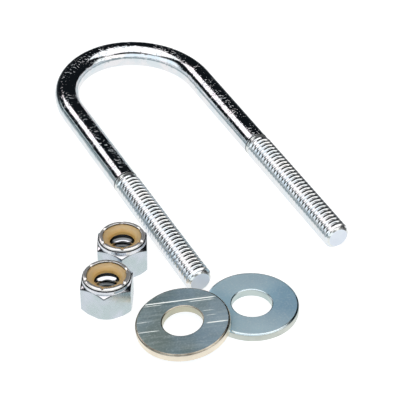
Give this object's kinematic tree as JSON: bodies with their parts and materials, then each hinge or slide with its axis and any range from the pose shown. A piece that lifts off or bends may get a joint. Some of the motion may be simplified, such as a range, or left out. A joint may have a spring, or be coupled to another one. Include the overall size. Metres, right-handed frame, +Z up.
{
  "type": "pad eye",
  "caption": "Zinc-plated U-bolt eye laid out as a kit, with nylon-insert lock nuts and plain washers for bolting it through a deck or board.",
  "frame": {"origin": "middle of the laid-out kit's outline, on the surface it lies on", "axes": "+Z up from the surface; +Y along the U-bolt's legs towards its bend; +X from the nuts towards the far leg"},
  "size_m": [0.0646, 0.1164, 0.0083],
  "materials": {
    "bolt_zinc": "bright zinc plating, mirror-like with a fine mottle",
    "nut_zinc": "satin zinc plating, bright on the turned collar",
    "nylon": "tan nylon, slightly translucent",
    "washer_zinc": "blue-grey zinc plating over a rolled sheet, scratched"
  },
  "bodies": {
    "bolt": {"u_bolt": "bolt_zinc"},
    "front_nut": {"front_nut_body": "nut_zinc", "front_nut_insert": "nylon"},
    "rear_nut": {"rear_nut_body": "nut_zinc", "rear_nut_insert": "nylon"},
    "front_washer": {"front_washer": "washer_zinc"},
    "rear_washer": {"rear_washer": "washer_zinc"}
  },
  "joints": [
    {"name": "front_nut_lift", "type": "slide", "parent": "bolt", "child": "front_nut", "axis": [0, 0, 1], "range_m": [0, 0.06]},
    {"name": "rear_nut_lift", "type": "slide", "parent": "bolt", "child": "rear_nut", "axis": [0, 0, 1], "range_m": [0, 0.06]},
    {"name": "front_washer_lift", "type": "slide", "parent": "bolt", "child": "front_washer", "axis": [0, 0, 1], "range_m": [0, 0.06]},
    {"name": "rear_washer_draw", "type": "slide", "parent": "bolt", "child": "rear_washer", "axis": [0, -1, 0], "range_m": [0, 0.04]}
  ]
}
